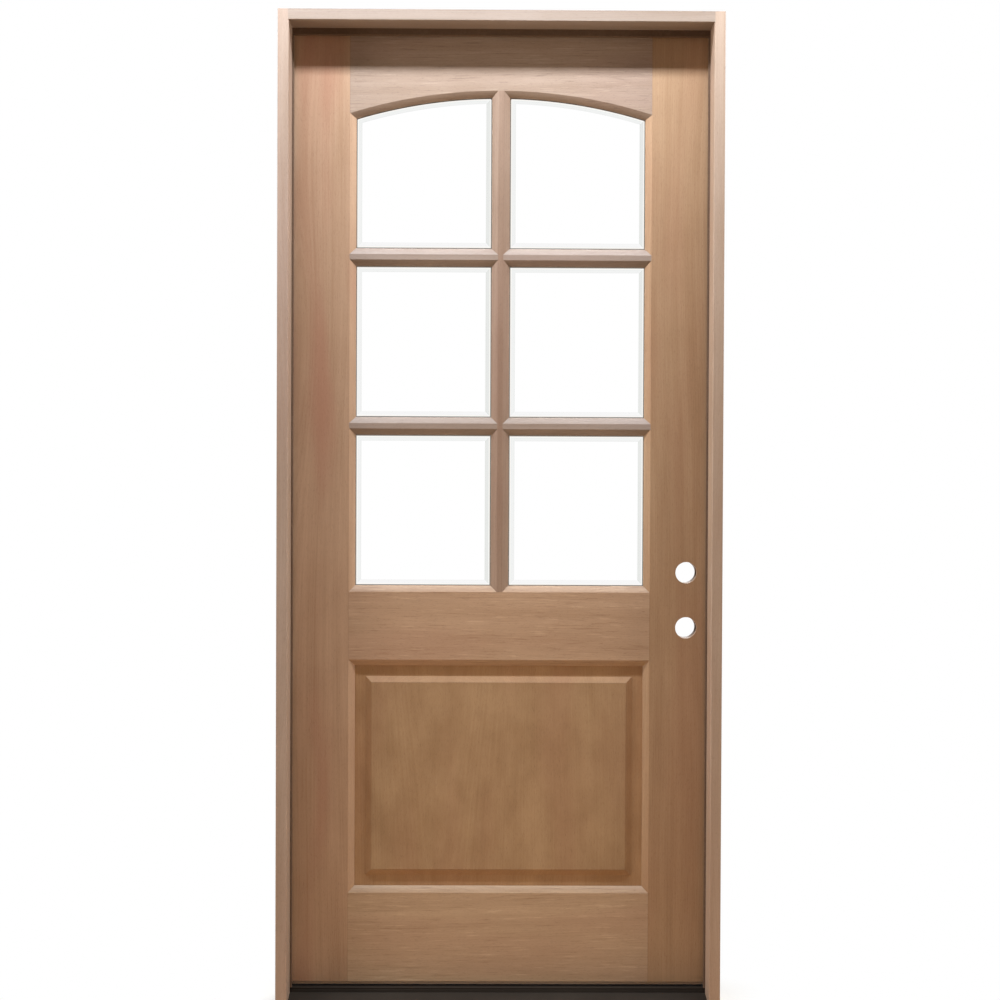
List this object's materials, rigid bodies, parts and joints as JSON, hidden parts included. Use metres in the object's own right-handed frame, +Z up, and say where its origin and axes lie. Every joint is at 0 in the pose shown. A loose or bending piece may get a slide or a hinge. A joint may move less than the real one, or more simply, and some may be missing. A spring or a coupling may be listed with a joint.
{
  "type": "arched front door",
  "caption": "Pre-hung timber front door: a leaf with bevelled lites under an arch and a raised panel, bored for a lockset, hinged in a rebated frame with seals and a dark sill.",
  "frame": {"origin": "on the underside of the sill, in the middle of the unit's width and depth", "axes": "+X from the hinge jamb to the strike jamb, -Y outwards to the street, +Y to the room, +Z up"},
  "size_m": [1.1054, 0.1487, 2.4743],
  "materials": {
    "leaf_timber": "clear satin over reddish brown hardwood",
    "frame_timber": "clear satin over reddish brown hardwood",
    "pane_glass": "clear, bevelled edge",
    "seal_foam": "dark brown matt skin",
    "sweep_vinyl": "brown matt",
    "sill_metal": "dark bronze anodised",
    "sill_cap": "dark brown composite",
    "sill_base": "raw",
    "hinge_steel": "satin"
  },
  "bodies": {
    "frame": {"hinge_jamb": "frame_timber", "strike_jamb": "frame_timber", "head_jamb": "frame_timber", "sill_base": "sill_base", "sill_deck": "sill_metal", "sill_cap": "sill_cap", "weatherstrip_hinge": "seal_foam", "weatherstrip_strike": "seal_foam", "weatherstrip_head": "seal_foam", "jamb_hinge_1": "hinge_steel", "jamb_hinge_2": "hinge_steel", "jamb_hinge_3": "hinge_steel", "jamb_hinge_4": "hinge_steel"},
    "door_leaf": {"hinge_stile": "leaf_timber", "lock_stile": "leaf_timber", "arched_top_rail": "leaf_timber", "lock_rail": "leaf_timber", "bottom_rail": "leaf_timber", "upright_bar": "leaf_timber", "cross_bar_upper_left": "leaf_timber", "cross_bar_upper_right": "leaf_timber", "cross_bar_lower_left": "leaf_timber", "cross_bar_lower_right": "leaf_timber", "pane_1_left": "pane_glass", "pane_1_right": "pane_glass", "pane_2_left": "pane_glass", "pane_2_right": "pane_glass", "pane_3_left": "pane_glass", "pane_3_right": "pane_glass", "glazing_bead_1_left": "leaf_timber", "glazing_bead_1_right": "leaf_timber", "glazing_bead_2_left": "leaf_timber", "glazing_bead_2_right": "leaf_timber", "glazing_bead_3_left": "leaf_timber", "glazing_bead_3_right": "leaf_timber", "raised_panel": "leaf_timber", "door_sweep": "sweep_vinyl", "door_hinge_1": "hinge_steel", "door_hinge_2": "hinge_steel", "door_hinge_3": "hinge_steel", "door_hinge_4": "hinge_steel"}
  },
  "joints": [
    {"name": "door_swing", "type": "hinge", "parent": "frame", "child": "door_leaf", "pos_m": [-0.5359, 0.07568, 1.2], "axis": [0, 0, 1], "range_deg": [0, 170]}
  ]
}
